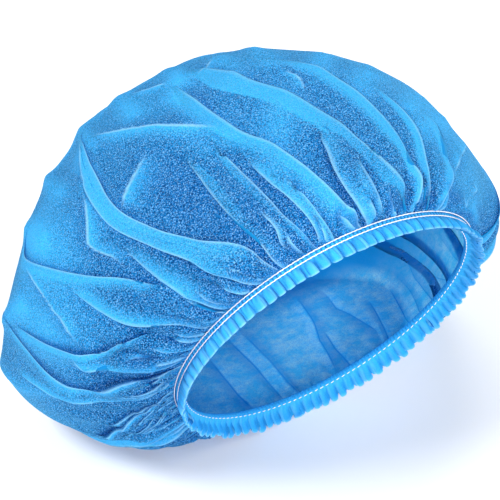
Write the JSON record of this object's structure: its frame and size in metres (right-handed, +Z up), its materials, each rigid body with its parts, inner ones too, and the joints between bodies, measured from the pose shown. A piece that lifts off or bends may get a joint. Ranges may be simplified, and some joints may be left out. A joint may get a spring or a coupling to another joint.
{
  "type": "surgical cap",
  "caption": "Disposable bouffant surgical cap of thin blue nonwoven cloth, puffed and gathered on a hidden elastic band with a stitched ruffle round the opening, lying on its side.",
  "frame": {"origin": "middle of the box, on the surface that the cap lies on", "axes": "X across the opening, Y from the opening toward the crown, Z up"},
  "size_m": [0.2646, 0.192, 0.1895],
  "materials": {
    "nonwoven": "matte",
    "elastic": "matte"
  },
  "bodies": {
    "root": {"crown": "nonwoven", "elastic_band": "elastic"}
  },
  "joints": []
}
